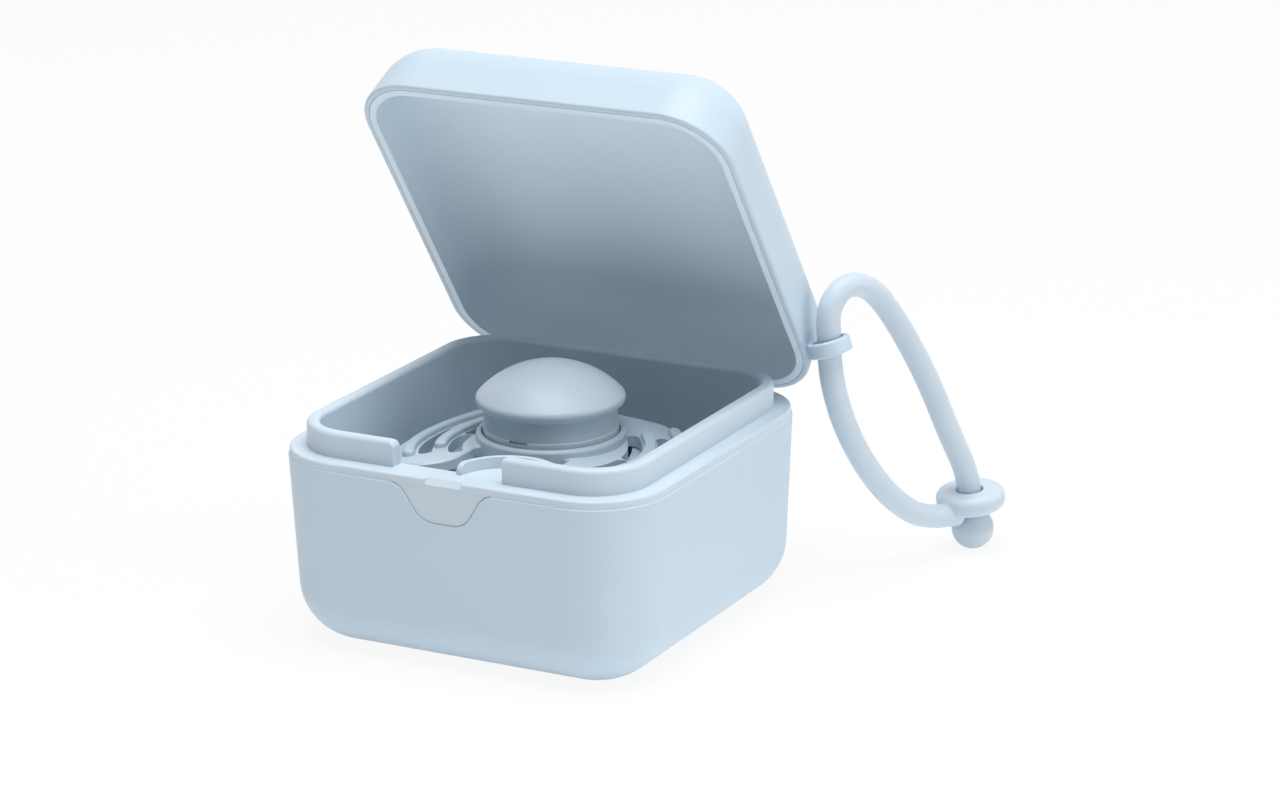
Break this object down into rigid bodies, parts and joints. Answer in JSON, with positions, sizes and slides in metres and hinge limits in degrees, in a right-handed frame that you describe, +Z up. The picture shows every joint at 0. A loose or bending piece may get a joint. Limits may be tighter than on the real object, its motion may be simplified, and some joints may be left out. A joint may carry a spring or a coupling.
{
  "type": "pacifier sterilizer case",
  "caption": "Square two-walled box with a hinged lid, a collar with a pouring gap, a steam tray, a pacifier inside and a cord loop with a ball.",
  "frame": {"origin": "middle of the base's flat underside, on the table", "axes": "+Z up, +X to the right, the front with the thumb dip towards -Y, the hinge at +Y"},
  "size_m": [0.1066, 0.1182, 0.109],
  "materials": {
    "case_plastic": "matte",
    "liner_plastic": "matte",
    "pin_plastic": "matte",
    "pacifier_plastic": "satin",
    "teat_silicone": "matte",
    "strap_silicone": "matte"
  },
  "bodies": {
    "base": {"outer_shell": "case_plastic", "inner_tub": "case_plastic", "hinge_pin_left": "pin_plastic", "hinge_pin_right": "pin_plastic"},
    "lid": {"lid_shell": "case_plastic", "lid_liner": "liner_plastic"},
    "tray": {"tray_insert": "liner_plastic"},
    "pacifier": {"pacifier_shield": "pacifier_plastic", "pacifier_ring": "pacifier_plastic", "pacifier_button": "pacifier_plastic", "pacifier_teat": "teat_silicone"},
    "strap": {"strap_cord": "strap_silicone", "strap_ring": "strap_silicone", "strap_ball": "strap_silicone"}
  },
  "joints": [
    {"name": "lid_hinge", "type": "hinge", "parent": "base", "child": "lid", "pos_m": [0, 0.0398, 0.037], "axis": [-1, 0, 0], "range_deg": [-55.4, 44.6]},
    {"name": "tray_lift", "type": "slide", "parent": "base", "child": "tray", "axis": [0, 0, 1], "range_m": [0, 0.05]},
    {"name": "pacifier_lift", "type": "slide", "parent": "tray", "child": "pacifier", "axis": [0, 0, 1], "range_m": [0, 0.05]},
    {"name": "strap_swing", "type": "hinge", "parent": "lid", "child": "strap", "pos_m": [0.0443, 0.03629, 0.05037], "axis": [0, 0, 1], "range_deg": [-80, 20]}
  ]
}
